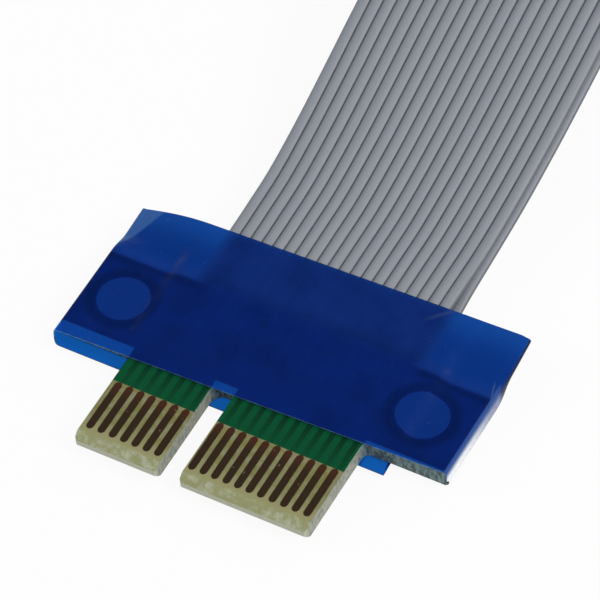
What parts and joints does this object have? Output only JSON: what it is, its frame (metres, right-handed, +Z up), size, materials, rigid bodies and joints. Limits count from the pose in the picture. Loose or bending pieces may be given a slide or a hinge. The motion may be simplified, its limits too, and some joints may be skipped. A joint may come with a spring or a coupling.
{
  "type": "flexible riser cable",
  "caption": "Flexible flat riser cable: an edge plug board joined by two stacked grey ribbons to a slot socket, with blue film wraps over the joints.",
  "frame": {"origin": "bottom centre of the riser as it lies, midway between the plug's tip and the socket's mouth and on the middle of the plug board's width", "axes": "+Z up from the surface it lies on, +Y along the cable from the plug to the socket, +X along the finger row towards the long tab"},
  "size_m": [0.0342, 0.1882, 0.014],
  "materials": {
    "laminate": "glass and resin laminate with green mask and plated fingers",
    "blue_film": "thin see-through adhesive film",
    "grey_insulation": "ribbed satin insulation",
    "black_moulding": "moulded, fine grain",
    "spring_contact": "plated and stamped"
  },
  "bodies": {
    "root": {"plug_board": "laminate", "plug_film": "blue_film", "ribbon_front": "grey_insulation", "ribbon_back": "grey_insulation", "socket_board": "laminate", "socket_film": "blue_film", "socket_housing": "black_moulding", "contact_back_01": "spring_contact", "contact_back_02": "spring_contact", "contact_back_03": "spring_contact", "contact_back_04": "spring_contact", "contact_back_05": "spring_contact", "contact_back_06": "spring_contact", "contact_back_07": "spring_contact", "contact_back_08": "spring_contact", "contact_back_09": "spring_contact", "contact_back_10": "spring_contact", "contact_back_11": "spring_contact", "contact_back_12": "spring_contact", "contact_back_13": "spring_contact", "contact_back_14": "spring_contact", "contact_back_15": "spring_contact", "contact_back_16": "spring_contact", "contact_back_17": "spring_contact", "contact_back_18": "spring_contact", "contact_front_01": "spring_contact", "contact_front_02": "spring_contact", "contact_front_03": "spring_contact", "contact_front_04": "spring_contact", "contact_front_05": "spring_contact", "contact_front_06": "spring_contact", "contact_front_07": "spring_contact", "contact_front_08": "spring_contact", "contact_front_09": "spring_contact", "contact_front_10": "spring_contact", "contact_front_11": "spring_contact", "contact_front_12": "spring_contact", "contact_front_13": "spring_contact", "contact_front_14": "spring_contact", "contact_front_15": "spring_contact", "contact_front_16": "spring_contact", "contact_front_17": "spring_contact", "contact_front_18": "spring_contact"}
  },
  "joints": []
}
